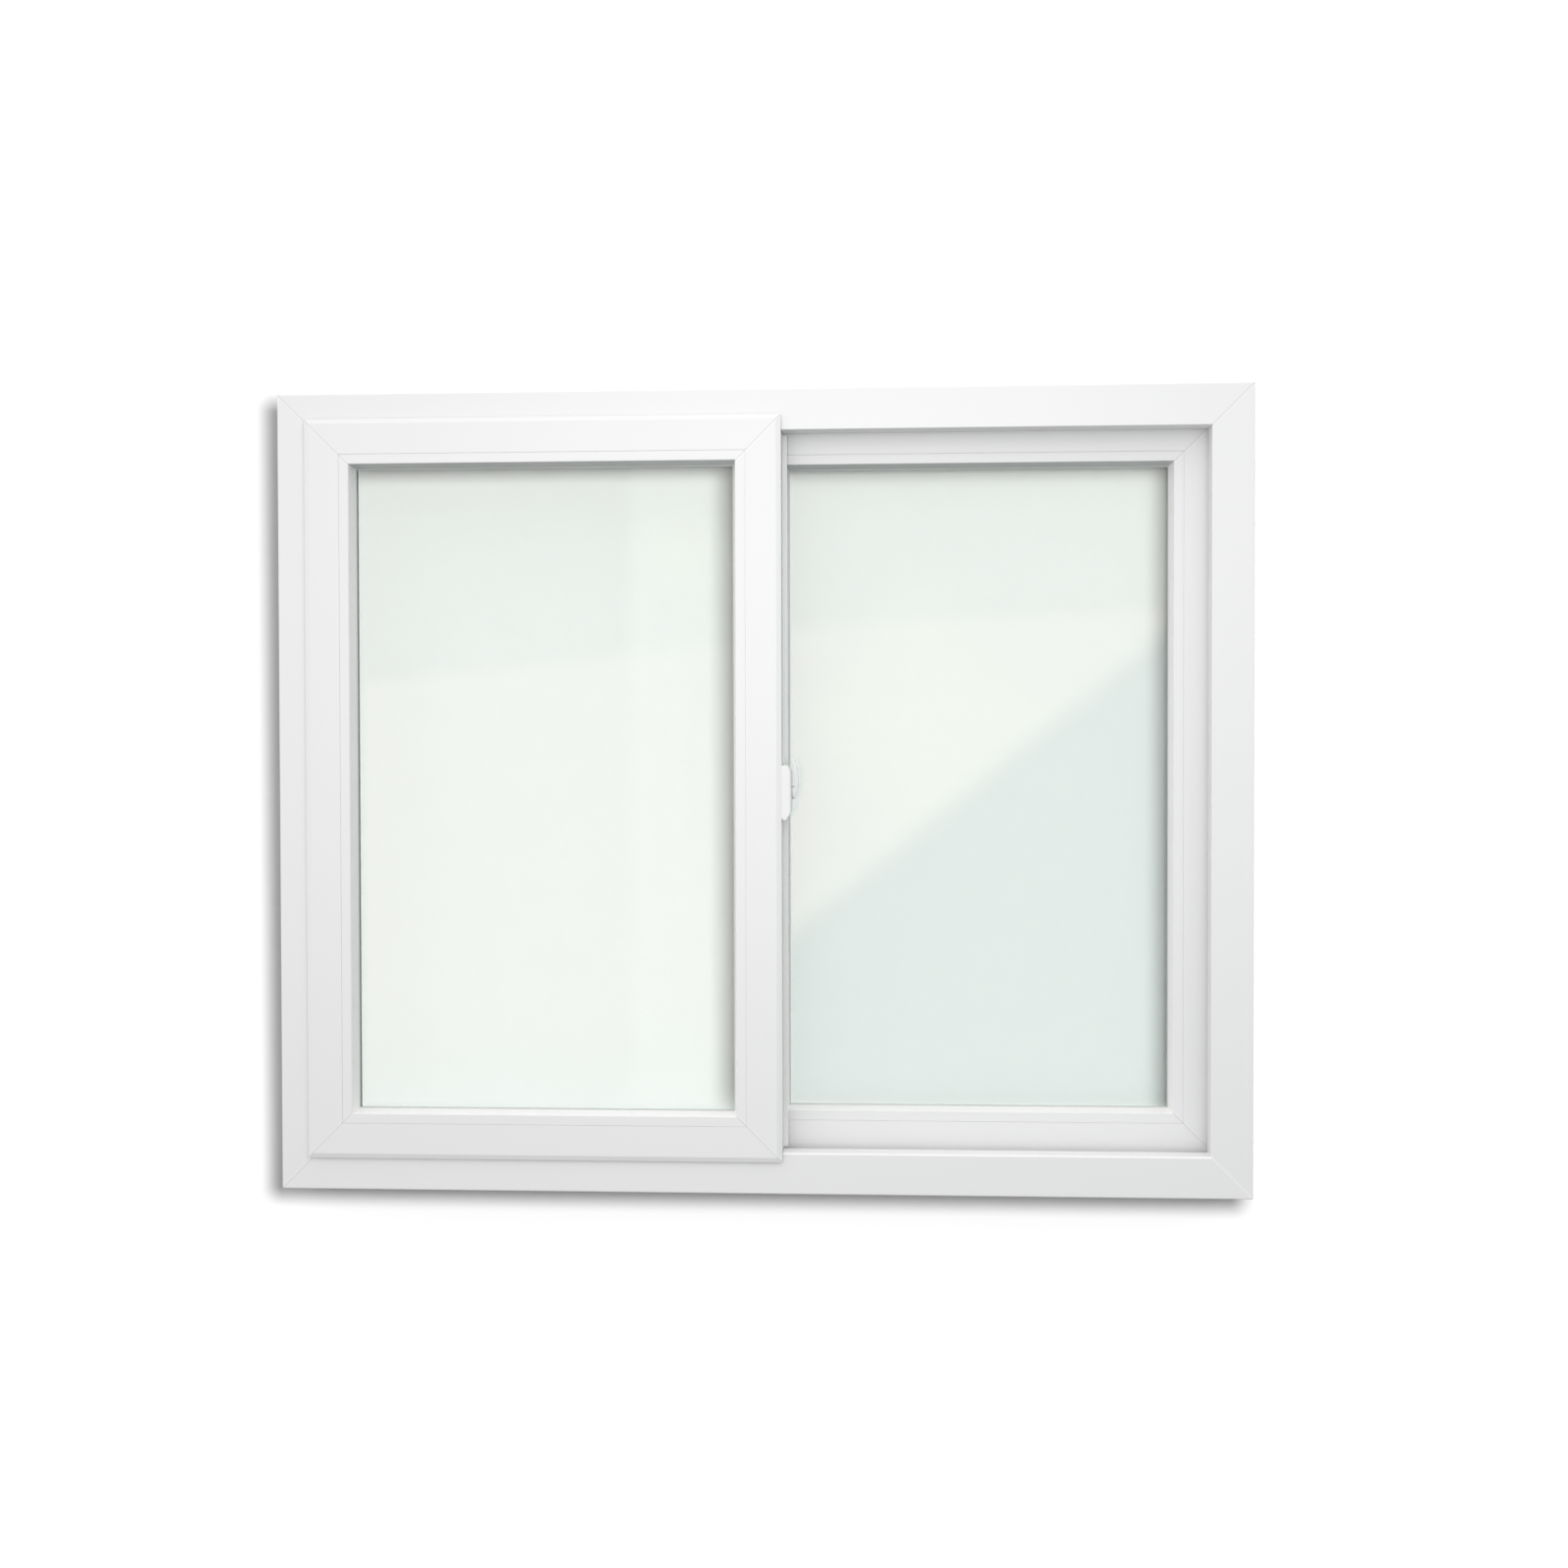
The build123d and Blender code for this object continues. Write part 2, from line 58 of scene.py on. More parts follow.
# The camera, as worked out from the window's edges in the photograph
CAMERA_PLACE = (0.1825, -2.4904, 0.5541)
CAMERA_LENS = 45.93
CAMERA_SENSOR = 36.0
CAMERA_NEAR = 0.05
YAW_LEFT = math.radians(3.559)
PITCH_DOWN = math.radians(1.133)
ROLL = math.radians(0.125)

# The window's main sizes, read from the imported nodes, and how far a bead's toe is inside its edge
FRAME_LOW, FRAME_HIGH = cad_box
HALF_WIDTH = FRAME_HIGH[0]
HEIGHT = FRAME_HIGH[2]
BEAD_SLOPE = 0.0035

# The white wall close behind the window, and the floor
WALL_GAP = 0.001
WALL_Y = FRAME_HIGH[1] + WALL_GAP
WALL_REACH = 3.0
WALL_TOP = 3.0
WALL_WHITE = (0.45, 0.45, 0.45, 1)
FLOOR_Z = -0.62
FLOOR_REACH = 6.0
FLOOR_PALE = (0.92, 0.92, 0.92, 1)

# The faces of a rectangle, and of the ring between an outer and an inner rectangle
ONE_FACE = [(0, 1, 2, 3)]
RING_FACES = [(i, (i + 1) % 4, 4 + (i + 1) % 4, 4 + i) for i in range(4)]

# The soft shadow on the wall around the window: how far it shows to the left and below, how wide
# its edge is, and the depth of the flag that throws it, with the width of it inside the frame
SHADOW_SHIFT = (0.0141, 0.0102)
SHADOW_EDGE = 0.030
FLAG_Y = 0.0
FLAG_INSIDE = 0.010
FLAG_GREY = (0.8, 0.8, 0.8, 1)
WALL_SUN = 5.1

# The soft bands of shadow behind the panes: how wide they are, and how much of their dark end hides
# behind the edge that throws them, sideways and down. The meeting stile of the front sash and the
# outer stile of the back sash are the upright edges
BAND_PANE = 0.040
BAND_STILE = {"front_sash": "_meeting_stile", "back_sash": "_outer_stile"}
HIDDEN_PANE = {"front_sash": (0.0072, 0.0165), "back_sash": (0.0105, 0.0172)}
PANE_SUN = {"front_sash": 5.99, "back_sash": 5.84}

# Light on the window: a soft sun, a lamp close in front of the upper half, and soft panels on
# every side. The sun has a strength, the slant of its shadows and its width. The blends are how
# far up and down the panel behind and the two whites pass into each other
SUN_FRONT = (0.45, (0.0, -0.08), math.radians(17))
LAMP_PLACE = (0.07, -0.96, 0.90)
LAMP_SIZE = 0.9
LAMP_POWER = 2.7
PANEL_FRONT = 0.625
PANEL_BEHIND_HIGH = 0.8
PANEL_BEHIND_LOW = 0.1
PANEL_LEFT = 0.68
PANEL_RIGHT = 0.40
PANEL_ABOVE = 0.98
BEHIND_BLEND = 0.3
WHITE_UPPER = (1.0, 1.0, 1.0, 1)
WHITE_LOWER = (0.985, 0.995, 1.0, 1)
WHITE_BLEND = 0.5

# The room in the reflections. Across and rise are slopes of the mirrored ray, for which its depth
# has a least value. Each edge has a slope and a level, each pair of numbers is the start and the
# end of a soft change, and each glow has a place and a reach
LEAST_DEPTH = 0.05
ROOM_EDGE_LEFT = (0.101, 0.0594)
ROOM_EDGE_RIGHT = (0.043, 0.0611)
ROOM_CORNER = (0.807, -0.0471)
ROOM_SPLIT = (-0.09, -0.06)
ROOM_SOFT = 0.006
ROOM_UPPER = (0.69, 0.47, 0.44, 1)
ROOM_BRIGHT = (1.14, 0.75, 0.72, 1)
ROOM_COOL = (0.01, 0.05, 0.09, 1)
ROOM_DOOR = (-0.145, -0.133)
ROOM_PALE = (1.40, 1.20, 1.15, 1)
ROOM_PALE_SHARE = 0.4
ROOM_LOW_EDGE = (-0.12, -0.19)
ROOM_LOW = (0.75, 0.58, 0.56, 1)
ROOM_GLOWS = ((0.006, 0.014, 0.10), (-0.114, 0.098, 0.04))
ROOM_GLOW = (1.35, 1.25, 0.75, 1)
ROOM_GLOW_SHARE = 0.5

# The white plastic: its colour with the share of it in the darker clouds, its roughness with the
# spread over a range of the grain, the scale and detail of the clouds and of the grain, and the
# strength and depth of the grain's bump
PVC_WHITE = (0.845, 0.85, 0.850)
PVC_DARKER = 0.985
PVC_ROUGHNESS = 0.34
PVC_SPREAD = 0.03
GRAIN_RANGE = (0.3, 0.7)
CLOUDS = (3.0, 3.0)
GRAIN = (900.0, 2.0)
GRAIN_BUMP = (0.06, 0.0002)

# The beads' lips, which start this far behind the bead's front, each in a colour that is painted
# light: painted shade on the top bead's lip, a painted highlight on the others. The painted highlights
# on the rims of the frame are each at their palest within a share of their width
LIP_START = 0.0012
LIP_PAINTED_LIGHT = {"top": (0.55, 0.57, 0.56, 1), "bottom": (0.98, 0.98, 0.98, 1),
        "left": (0.96, 0.96, 0.96, 1), "right": (0.96, 0.96, 0.96, 1)}
RIM_WIDTH = 0.0012
RIM_FULL = 0.5
SILL_RIM = 0.0028
SILL_RIM_FULL = 0.7
RIM_HIGHLIGHT = (0.97, 0.97, 0.97, 1)

# The weld lines on the mitres of the bars: a grey joint, which is this much deeper than the grain,
# and beside it a pale band, whose place and width are in widths of the seam
WELDED = ("rail", "stile", "head", "sill", "jamb_left", "jamb_right")
SEAM_WIDTH = 0.0013
SEAM_SHARE = 0.7
SEAM_DEPTH = 3.0
SEAM_GREY = (0.60, 0.61, 0.61, 1)
PALE_PLACE = 1.6
PALE_WIDTH = 1.4
PALE_SHARE = 0.5
SEAM_PALE = (0.93, 0.93, 0.93, 1)

# The glass, and the plain finishes with a colour, a roughness and how metallic they are. These
# have a darker share of the colour in their grain, which has a scale and a detail
PANE_TINT = (0.9525, 0.9686, 0.9596)
PANE_IOR = 1.5
PANE_ROUGHNESS = 0.02
PLAIN_FINISHES = {
    "spacer": ((0.7, 0.71, 0.72), 0.4, 1.0),
    "gasket": ((0.6, 0.62, 0.6), 0.7, 0.0),
    "pile": ((0.5, 0.5, 0.5), 0.95, 0.0),
    "block": ((0.7, 0.7, 0.7), 0.6, 0.0),
    "roller": ((0.75, 0.75, 0.72), 0.5, 0.0),
}
PLAIN_DARKER = 0.94
PLAIN_GRAIN = (400.0, 3.0)

# The lock's two screws: how far they are from the edge of its flat face and from its middle, and the
# radius and rise of the head. The cross in it has painted shade, and has a half width and a reach,
# each from where it is white to where the painted shade is darkest, and a depth
SCREW_INSET = 0.007
SCREW_OFF = 0.017
SCREW_RADIUS = 0.0028
SCREW_RISE = 0.0005
SCREW_RINGS = 5
SCREW_SIDES = 24
CROSS_HALF = (0.0003, 0.00024)
CROSS_REACH = (0.0016, 0.00152)
CROSS_DEPTH = 0.0005
SCREW_WHITE = (0.80, 0.80, 0.80, 1)
SCREW_CROSS_SHADE = (0.20, 0.20, 0.20, 1)
SCREW_ROUGHNESS = (0.3, 0.7)


def new_object(name, data):
    """A new object of the scene, around its data."""
    thing = bpy.data.objects.new(name, data)
    bpy.context.scene.collection.objects.link(thing)
    return thing


def new_mesh(name, points, faces, material):
    """A new mesh of one material."""
    mesh = bpy.data.meshes.new(name)
    mesh.from_pydata(points, [], faces)
    mesh.materials.append(material)
    return mesh


def make_camera():
    """The camera at the photograph's place and angle."""
    data = bpy.data.cameras.new("camera")
    data.sensor_width = CAMERA_SENSOR
    data.lens = CAMERA_LENS
    data.clip_start = CAMERA_NEAR
    camera = new_object("camera", data)
    camera.location = CAMERA_PLACE
    camera.rotation_euler = (math.pi / 2 - PITCH_DOWN, ROLL, YAW_LEFT)
    bpy.context.scene.camera = camera


def aim(lamp, direction):
    """Turns a lamp so that it shines in a direction."""
    lamp.rotation_euler = Vector(direction).to_track_quat("-Z", "Y").to_euler()


def collect(name, members):
    """A collection that holds only these objects, for lamps that light nothing else."""
    group = bpy.data.collections.new(name)
    for member in members:
        group.objects.link(member)
    return group


def make_sun(name, strength, slant, angle, receivers, blockers=None):
    """A soft sun whose shadows fall slant[0] to the left and slant[1] down for each unit of depth.
    Where blockers are named, only they throw shadows."""
    data = bpy.data.lights.new(name, "SUN")
    data.energy = strength
    data.angle = angle
    sun = new_object(name, data)
    aim(sun, (-slant[0], 1.0, -slant[1]))
    sun.light_linking.receiver_collection = collect(name + "_receivers", receivers)
    if blockers is not None:
        sun.light_linking.blocker_collection = collect(name + "_blockers", blockers)
    sun.visible_glossy = False


def seen_past(toe):
    """Where the camera sees the wall just past a point (x, y, z), as x and z."""
    run = (WALL_Y - toe[1]) / (toe[1] - CAMERA_PLACE[1])
    return toe[0] + (toe[0] - CAMERA_PLACE[0]) * run, toe[2] + (toe[2] - CAMERA_PLACE[2]) * run


def make_pane_sun(sash, wall):
    """The sun of the wall behind one pane. The front edge of the right and the top bead throws a
    band of shadow. Its dark end is a little before the place where the camera first sees the wall
    past the toe of these beads."""
    bead_low, bead_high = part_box(sash + "_bead_right")
    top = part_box(sash + "_bead_top")[0][2]
    seen_x, seen_z = seen_past((bead_low[0], bead_high[1], top))
    depth = WALL_Y - bead_low[1]
    hidden_x, hidden_z = HIDDEN_PANE[sash]
    slant = ((bead_low[0] + BEAD_SLOPE - seen_x + BAND_PANE / 2 - hidden_x) / depth,
             (top + BEAD_SLOPE - seen_z + BAND_PANE / 2 - hidden_z) / depth)
    angle = 2 * math.atan(BAND_PANE / 2 / depth)
    blockers = [nodes[sash + part]
                for part in ("_top_rail", "_bead_top", "_bead_right", BAND_STILE[sash])]
    make_sun("sun_" + sash, PANE_SUN[sash], slant, angle, [wall], blockers)


def make_lamp():
    """The lamp in front of the window, which lights the window alone."""
    data = bpy.data.lights.new("lamp", "AREA")
    data.size = LAMP_SIZE
    data.energy = LAMP_POWER
    lamp = new_object("lamp", data)
    lamp.location = LAMP_PLACE
    aim(lamp, (0.0, 1.0, 0.0))
    lamp.light_linking.receiver_collection = collect("lamp_receivers", nodes.values())
    lamp.visible_glossy = False


def new_material(name):
    """An empty material, with its tree and the socket that takes its surface."""
    material = bpy.data.materials.new(name)
    material.use_nodes = True
    material.node_tree.nodes.clear()
    t = Tree(material.node_tree)
    return material, t, t.add("OutputMaterial").inputs["Surface"]


class Tree:
    """Short calls for making and joining the nodes of one tree. A value may be a socket. A Mix node
    has its numbers at 2 and 3 and its colours at 6 and 7."""

    def __init__(self, tree):
        self.tree = tree

    def add(self, kind, **settings):
        node = self.tree.nodes.new("ShaderNode" + kind)
        for name, value in settings.items():
            setattr(node, name, value)
        return node

    def link(self, start, end):
        self.tree.links.new(start, end)

    def feed(self, node, socket, value):
        if isinstance(value, bpy.types.NodeSocket):
            self.link(value, node.inputs[socket])
        else:
            node.inputs[socket].default_value = value

    def math(self, operation, *values):
        node = self.add("Math", operation=operation)
        for index, value in enumerate(values):
            self.feed(node, index, value)
        return node.outputs[0]

    def ramp(self, value, low, high, start=0.0, end=1.0):
        node = self.add("MapRange", clamp=True)
        node.interpolation_type = "SMOOTHSTEP"
        self.feed(node, "Value", value)
        self.feed(node, "From Min", low)
        self.feed(node, "From Max", high)
        self.feed(node, "To Min", start)
        self.feed(node, "To Max", end)
        return node.outputs[0]

    def mix_color(self, factor, first, second):
        node = self.add("Mix", data_type="RGBA")
        self.feed(node, 0, factor)
        self.feed(node, 6, first)
        self.feed(node, 7, second)
        return node.outputs[2]

    def mix_number(self, factor, first, second):
        node = self.add("Mix")
        self.feed(node, 0, factor)
        self.feed(node, 2, first)
        self.feed(node, 3, second)
        return node.outputs[0]

    def mix_shader(self, factor, first, second):
        node = self.add("MixShader")
        for index, value in enumerate((factor, first, second)):
            self.feed(node, index, value)
        return node.outputs[0]

    def clouded(self, factor, color, darker):
        """A colour which is darker, only a share of itself, where the factor is low."""
        return self.mix_color(factor, [c * darker for c in color] + [1], list(color) + [1])

    def noise(self, vector, scale, detail):
        node = self.add("TexNoise")
        self.feed(node, "Vector", vector)
        self.feed(node, "Scale", scale)
        self.feed(node, "Detail", detail)
        return node.outputs["Fac"]


def make_world():
    """Ambient light for the shading, a room of soft planes for the gloss, and white to look at."""
    world = bpy.data.worlds.new("world")
    bpy.context.scene.world = world
    world.use_nodes = True
    world.node_tree.nodes.clear()
    t = Tree(world.node_tree)
    split = t.add("SeparateXYZ")
    t.link(t.add("TexCoord").outputs["Generated"], split.inputs[0])
    along, away, up = split.outputs
    light = t.add("Background")
    height = t.ramp(up, -WHITE_BLEND, WHITE_BLEND)
    t.link(t.mix_color(height, WHITE_LOWER, WHITE_UPPER), light.inputs["Color"])
    t.link(panel_light(t, along, away, up), light.inputs["Strength"])
    depth = t.math("MAXIMUM", t.math("ABSOLUTE", away), LEAST_DEPTH)
    across = t.math("DIVIDE", along, depth)
    rise = t.math("DIVIDE", up, depth)
    room = t.add("Background")
    t.link(room_colour(t, across, rise), room.inputs["Color"])
    white = t.add("Background")
    white.inputs["Color"].default_value = (1, 1, 1, 1)
    path = t.add("LightPath")
    lit = t.mix_shader(path.outputs["Is Glossy Ray"], light.outputs[0], room.outputs[0])
    seen = t.math("MAXIMUM", path.outputs["Is Camera Ray"], path.outputs["Is Transmission Ray"])
    surface = t.mix_shader(seen, lit, white.outputs[0])
    t.link(surface, t.add("OutputWorld").inputs["Surface"])


def panel_light(t, along, away, up):
    """The light of the panels in one direction. The front one is narrow, the others are wide."""
    def share(value, level):
        return t.math("MULTIPLY", t.math("MAXIMUM", value, 0.0), level)
    toward = t.math("MULTIPLY", away, -1.0)
    front = t.math("MULTIPLY", share(toward, PANEL_FRONT), t.math("MAXIMUM", toward, 0.0))
    sides = t.math("ADD", share(along, PANEL_RIGHT),
                   share(t.math("MULTIPLY", along, -1.0), PANEL_LEFT))
    above = share(up, PANEL_ABOVE)
    level = t.ramp(up, -BEHIND_BLEND, BEHIND_BLEND, PANEL_BEHIND_LOW, PANEL_BEHIND_HIGH)
    behind = share(away, level)
    return t.math("ADD", t.math("ADD", front, sides), t.math("ADD", above, behind))


def above_line(t, across, rise, line):
    """How far a mirrored ray is above a sloping line."""
    slope, level = line
    return t.math("SUBTRACT", rise, t.math("ADD", t.math("MULTIPLY", across, slope), level))


def glow(t, across, rise, spot):
    """A soft spot of light, given by its place and its reach."""
    off_across = t.math("ABSOLUTE", t.math("SUBTRACT", across, spot[0]))
    off_rise = t.math("ABSOLUTE", t.math("SUBTRACT", rise, spot[1]))
    return t.ramp(t.math("ADD", off_across, off_rise), spot[2], 0.0)


def room_colour(t, across, rise):
    """What the gloss mirrors: a dim upper part, a bright band below a sloping edge, and to the
    right a cool dim part below a steeper edge. To the left a doorway is paler and the floor is
    darker, and two spots glow. All edges are soft."""
    right = t.ramp(across, *ROOM_SPLIT)
    upper_left = t.ramp(above_line(t, across, rise, ROOM_EDGE_LEFT), -ROOM_SOFT, ROOM_SOFT)
    upper_right = t.ramp(above_line(t, across, rise, ROOM_EDGE_RIGHT), -ROOM_SOFT, ROOM_SOFT)
    lower = t.ramp(above_line(t, across, rise, ROOM_CORNER), 2 * ROOM_SOFT, -2 * ROOM_SOFT)
    upper = t.mix_number(right, upper_left, upper_right)
    bright = t.mix_color(t.ramp(rise, *ROOM_LOW_EDGE), ROOM_BRIGHT, ROOM_LOW)
    bright = t.mix_color(upper, bright, ROOM_UPPER)
    door = t.math("MULTIPLY", t.ramp(across, *ROOM_DOOR), t.math("SUBTRACT", 1.0, right))
    bright = t.mix_color(t.math("MULTIPLY", door, ROOM_PALE_SHARE), bright, ROOM_PALE)
    for spot in ROOM_GLOWS:
        share = t.math("MULTIPLY", glow(t, across, rise, spot), ROOM_GLOW_SHARE)
        bright = t.mix_color(share, bright, ROOM_GLOW)
    return t.mix_color(t.math("MULTIPLY", lower, right), bright, ROOM_COOL)


def paint_material(name, color, one_sided=False):
    """Matt paint. Where it is one-sided, there is nothing at all from behind."""
    material, t, surface = new_material(name)
    paint = t.add("BsdfDiffuse")
    paint.inputs["Color"].default_value = color
    shader = paint.outputs[0]
    if one_sided:
        behind = t.add("NewGeometry").outputs["Backfacing"]
        shader = t.mix_shader(behind, shader, t.add("BsdfTransparent").outputs[0])
    t.link(shader, surface)
    return material


def rectangle(low, high):
    """The four corners of a rectangle, from its low and its high one."""
    return [low, (high[0], low[1]), high, (low[0], high[1])]


def make_stage(name, points, faces, material):
    """A flat piece of the stage."""
    sheet = new_object(name, new_mesh(name, points, faces, material))
    return sheet


def make_sheet(name, corners, faces, material, depth=WALL_Y):
    """A flat upright sheet, a piece of the wall where no depth is given. Its corners are (x, z)."""
    return make_stage(name, [(x, depth, z) for x, z in corners], faces, material)


def make_flag():
    """A ring-shaped sheet that shows only as a shadow. Its outline is the part of the wall that the
    window hides from the camera, moved by the shift of the shadow. The rest is in the frame."""
    front = FRAME_LOW[1]
    low_x, low_z = seen_past((FRAME_LOW[0], front, FRAME_LOW[2]))
    high_x, high_z = seen_past((FRAME_HIGH[0], front, FRAME_HIGH[2]))
    outline = rectangle((low_x - SHADOW_SHIFT[0], low_z - SHADOW_SHIFT[1]),
                        (high_x - SHADOW_SHIFT[0], high_z - SHADOW_SHIFT[1]))
    reach = HALF_WIDTH - FLAG_INSIDE
    opening = rectangle((-reach, FLAG_INSIDE), (reach, HEIGHT - FLAG_INSIDE))
    material = paint_material("flag", FLAG_GREY)
    flag = make_sheet("flag", outline + opening, RING_FACES, material, FLAG_Y)
    flag.visible_camera = False
    flag.visible_diffuse = False
    flag.visible_glossy = False
    flag.visible_transmission = False
    return flag


def make_wall():
    """The wall in three pieces: around the window and behind each pane, each with its own sun, so
    that the bands of shadow beside the frame and on the glass look equally wide."""
    material = paint_material("wall", WALL_WHITE, one_sided=True)
    low, high = (-HALF_WIDTH, 0.0), (HALF_WIDTH, HEIGHT)
    split_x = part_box("front_sash_meeting_stile")[1][0]
    outside = rectangle((-WALL_REACH, FLOOR_Z), (WALL_REACH, WALL_TOP))
    around = make_sheet("wall_around", outside + rectangle(low, high), RING_FACES, material)
    left = make_sheet("wall_left", rectangle(low, (split_x, HEIGHT)), ONE_FACE, material)
    right = make_sheet("wall_right", rectangle((split_x, 0.0), high), ONE_FACE, material)
    for wall in (around, left, right):
        wall.visible_shadow = False
        wall.visible_diffuse = False
    edge_angle = 2 * math.atan(SHADOW_EDGE / 2 / (WALL_Y - FLAG_Y))
    make_sun("sun_around", WALL_SUN, (0.0, 0.0), edge_angle, [around], [make_flag()])
    make_pane_sun("front_sash", left)
    make_pane_sun("back_sash", right)


def make_floor():
    """A plain pale floor below the window."""
    corners = rectangle((-FLOOR_REACH, -FLOOR_REACH), (FLOOR_REACH, FLOOR_REACH))
    floor = make_stage("floor", [(x, y, FLOOR_Z) for x, y in corners], ONE_FACE,
                       paint_material("floor", FLOOR_PALE))
    floor.visible_diffuse = False
    floor.visible_glossy = False
    return floor


def insets(t, position, low, high):
    """How far a point is inside a rectangle that runs from low to high, in x and in z."""
    found = []
    for axis in (0, 2):
        middle, half = (low[axis] + high[axis]) / 2, (high[axis] - low[axis]) / 2
        off = t.math("ABSOLUTE", t.math("SUBTRACT", position[axis], middle))
        found.append(t.math("SUBTRACT", half, off))
    return found


def lower_right(t, position):
    """One in the window's lower right quarter, and nothing elsewhere."""
    right = t.math("GREATER_THAN", position[0], 0.0)
    return t.math("MULTIPLY", right, t.math("LESS_THAN", position[2], HEIGHT / 2))


def paint_rim_highlights(t, base, position, inside, sill_top):
    """Adds painted highlights along the frame's outer edges, and at the top of the sill."""
    highlight = t.ramp(t.math("MINIMUM", *inside), RIM_WIDTH, RIM_FULL * RIM_WIDTH)
    if sill_top:
        under = t.math("SUBTRACT", sill_top, position[2])
        highlight = t.math("MAXIMUM", highlight, t.ramp(under, SILL_RIM, SILL_RIM_FULL * SILL_RIM))
    return t.mix_color(highlight, base, RIM_HIGHLIGHT)


def weld_lines(t, base, grain, distance, weld):
    """Adds the weld lines of the mitres, and returns the colour and the relief."""
    joint = t.ramp(t.math("ABSOLUTE", distance), SEAM_WIDTH, 0.0)
    beside = t.math("ABSOLUTE", t.math("ADD", distance, PALE_PLACE * SEAM_WIDTH))
    pale = t.ramp(beside, PALE_WIDTH * SEAM_WIDTH, 0.0, 0.0, PALE_SHARE)
    base = t.mix_color(pale, base, SEAM_PALE)
    base = t.mix_color(t.math("MULTIPLY", joint, SEAM_SHARE), base, weld)
    return base, t.math("SUBTRACT", grain, t.math("MULTIPLY", joint, SEAM_DEPTH))


def pvc_material(name, ring=None, painted_rims=False, slope=None, lip=None, sill_top=None):
    """Satin white plastic with a fine grain. Where it is a ring's, its mitres show as a fine weld
    line, grey in the joint and pale beside it. Behind the depth of slope, the plastic is the lip that
    slants to the glass, in a colour of painted light: painted shade on the top bead's lip, a painted
    highlight on the others. With painted rims, the outer edges get a painted highlight, and so does
    the lower right weld; sill_top is the height of the painted highlight inside the sill."""
    material, t, surface = new_material(name)
    coordinates = t.add("TexCoord").outputs["Object"]
    base = t.clouded(t.noise(coordinates, *CLOUDS), PVC_WHITE, PVC_DARKER)
    relief = grain = t.noise(coordinates, *GRAIN)
    split = t.add("SeparateXYZ")
    t.link(coordinates, split.inputs[0])
    position = split.outputs
    if ring:
        inside = insets(t, position, *ring)
        weld = SEAM_GREY
        if painted_rims:
            # Painted highlights: on the lower right weld in place of its grey joint, and along the
            # frame's outer edges
            weld = t.mix_color(lower_right(t, position), SEAM_GREY, RIM_HIGHLIGHT)
            base = paint_rim_highlights(t, base, position, inside, sill_top)
        base, relief = weld_lines(t, base, grain, t.math("SUBTRACT", *inside), weld)
    rough = t.ramp(grain, *GRAIN_RANGE, PVC_ROUGHNESS - PVC_SPREAD, PVC_ROUGHNESS + PVC_SPREAD)
    if slope is not None:
        # Behind the slope the lip takes its painted light: painted shade on the top bead, a painted
        # highlight on the others
        base = t.mix_color(t.ramp(position[1], slope, slope + LIP_START), base, lip)
    shader = t.add("BsdfPrincipled")
    t.link(base, shader.inputs["Base Color"])
    t.link(rough, shader.inputs["Roughness"])
    bump = t.add("Bump")
    bump.inputs["Strength"].default_value, bump.inputs["Distance"].default_value = GRAIN_BUMP
    t.link(relief, bump.inputs["Height"])
    t.link(bump.outputs[0], shader.inputs["Normal"])
    t.link(shader.outputs[0], surface)
    return material


def plain_material(name, color, roughness, metallic):
    """One of the plain finishes, with a fine grain in its colour."""
    material, t, surface = new_material(name)
    grain = t.noise(t.add("TexCoord").outputs["Object"], *PLAIN_GRAIN)
    shader = t.add("BsdfPrincipled")
    t.link(t.clouded(grain, color, PLAIN_DARKER), shader.inputs["Base Color"])
    shader.inputs["Roughness"].default_value = roughness
    shader.inputs["Metallic"].default_value = metallic
    t.link(shader.outputs[0], surface)
    return material


def glass_material():
    """A flat pane: tinted see-through with mirror reflections by Fresnel, the same on both of its
    sides, because the light isn't bent inside it."""
    material, t, surface = new_material("pane")
    clear = t.add("BsdfTransparent")
    clear.inputs["Color"].default_value = list(PANE_TINT) + [1]
    gloss = t.add("BsdfGlossy")
    gloss.inputs["Roughness"].default_value = PANE_ROUGHNESS
    fresnel = t.add("Fresnel")
    behind = t.add("NewGeometry").outputs["Backfacing"]
    t.link(t.mix_number(behind, PANE_IOR, 1 / PANE_IOR), fresnel.inputs["IOR"])
    t.link(t.mix_shader(fresnel.outputs[0], clear.outputs[0], gloss.outputs[0]), surface)
    return material


def screw_material():
    """White enamel, with painted shade in the cross."""
    material, t, surface = new_material("screw")
    split = t.add("SeparateXYZ")
    t.link(t.add("TexCoord").outputs["Object"], split.inputs[0])
    sides = [t.math("ABSOLUTE", split.outputs[axis]) for axis in (0, 1)]
    # Painted shade in the cross; the same mask also sinks it through the bump
    slot = t.math("MULTIPLY", t.ramp(t.math("MINIMUM", *sides), *CROSS_HALF),
                  t.ramp(t.math("MAXIMUM", *sides), *CROSS_REACH))
    shader = t.add("BsdfPrincipled")
    t.link(t.mix_color(slot, SCREW_WHITE, SCREW_CROSS_SHADE), shader.inputs["Base Color"])
    t.link(t.mix_number(slot, *SCREW_ROUGHNESS), shader.inputs["Roughness"])
    bump = t.add("Bump", invert=True)
    bump.inputs["Distance"].default_value = CROSS_DEPTH
    t.link(slot, bump.inputs["Height"])
    t.link(bump.outputs[0], shader.inputs["Normal"])
    t.link(shader.outputs[0], surface)
    return material


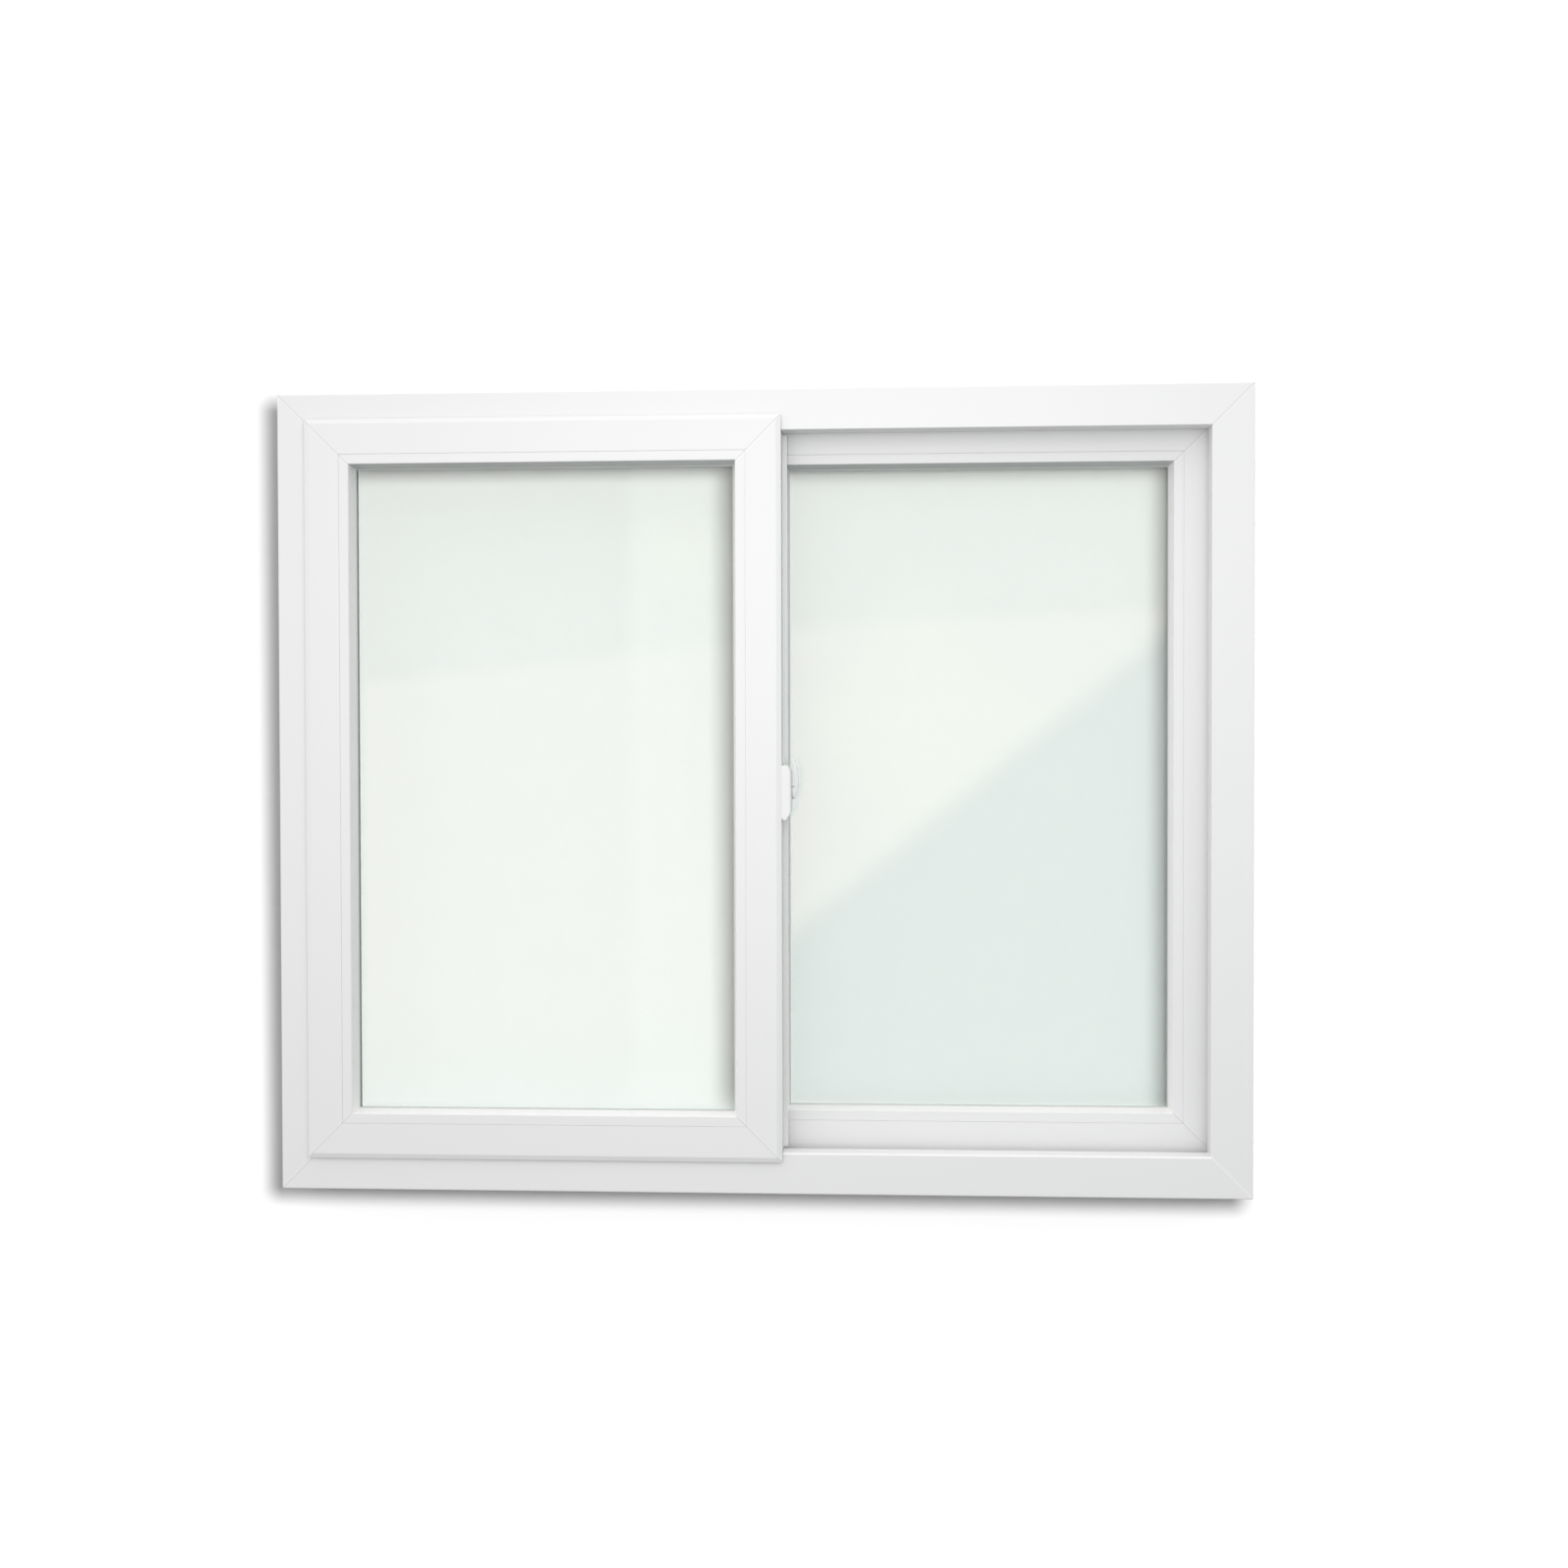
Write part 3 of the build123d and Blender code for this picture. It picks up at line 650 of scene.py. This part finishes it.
def screw_head():
    """The points and faces of a flat dome, which rises along +Z from its middle."""
    points, faces = [(0.0, 0.0, SCREW_RISE)], []
    for ring in range(1, SCREW_RINGS + 1):
        lean = math.pi / 2 * ring / SCREW_RINGS
        out, rise = SCREW_RADIUS * math.sin(lean), SCREW_RISE * math.cos(lean)
        for side in range(SCREW_SIDES):
            turn = 2 * math.pi * side / SCREW_SIDES
            points.append((out * math.cos(turn), out * math.sin(turn), rise))
    for side in range(SCREW_SIDES):
        beside = (side + 1) % SCREW_SIDES
        faces.append((0, 1 + side, 1 + beside))
        for start in range(1, 1 + (SCREW_RINGS - 1) * SCREW_SIDES, SCREW_SIDES):
            end = start + SCREW_SIDES
            faces.append((start + side, end + side, end + beside, start + beside))
    return points, faces


def make_screw(name, place, material):
    """A screw head that faces along +X and rides with the window."""
    mesh = new_mesh(name, *screw_head(), material)
    mesh.shade_smooth()
    screw = new_object(name, mesh)
    screw.rotation_euler = Vector((1, 0, 0)).to_track_quat("Z", "Y").to_euler()
    screw.location = place
    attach(screw, "window")


def make_screws():
    """The lock's two screws, above and below the middle of its housing."""
    low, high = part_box("lock_housing")
    middle = (low[2] + high[2]) / 2
    material = screw_material()
    for name, off in (("lock_screw_upper", SCREW_OFF), ("lock_screw_lower", -SCREW_OFF)):
        make_screw(name, (high[0], low[1] + SCREW_INSET, middle + off), material)


def dress_nodes():
    """Gives every CAD node the finish of its material slot, and the rings of bars their welds."""
    rings = {
        "frame": (FRAME_LOW, FRAME_HIGH),
        "front_sash": (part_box("front_sash_outer_stile")[0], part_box("front_sash_meeting_stile")[1]),
        "back_sash": (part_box("back_sash_meeting_stile")[0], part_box("back_sash_outer_stile")[1]),
    }
    plastics = {name: pvc_material("pvc_" + name, ring, painted_rims=name == "frame")
                for name, ring in rings.items()}
    beads = {}
    for sash in ("front_sash", "back_sash"):
        # Each bead's lip is painted with its light: painted shade on the top bead, a painted highlight
        # on the others
        for side, lip in LIP_PAINTED_LIGHT.items():
            name = sash + "_bead_" + side
            beads[name] = pvc_material(name, rings[sash], slope=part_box(name)[0][1], lip=lip)
    sill_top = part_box("frame_sill")[1][2]
    sill = pvc_material("pvc_sill", rings["frame"], painted_rims=True, sill_top=sill_top)
    plain = pvc_material("pvc_plain")
    finishes = {"lock": pvc_material("lock_white"), "glass": glass_material()}
    for name, finish in PLAIN_FINISHES.items():
        finishes[name] = plain_material(name, *finish)
    for part in frame["record"]["subparts"]:
        name = part["node"]
        finish = finishes.get(part["material_slot"], plain)
        for ring in rings:
            if name.startswith(ring) and name.endswith(WELDED):
                finish = plastics[ring]
        finish = sill if name == "frame_sill" else beads.get(name, finish)
        mesh = nodes[name].data
        mesh.materials.clear()
        mesh.materials.append(finish)


make_camera()
make_world()
make_wall()
ground = make_floor()
make_sun("sun_front", *SUN_FRONT, [ground] + list(nodes.values()))
make_lamp()
dress_nodes()
make_screws()

bpy.context.scene.view_settings.view_transform = "Standard"
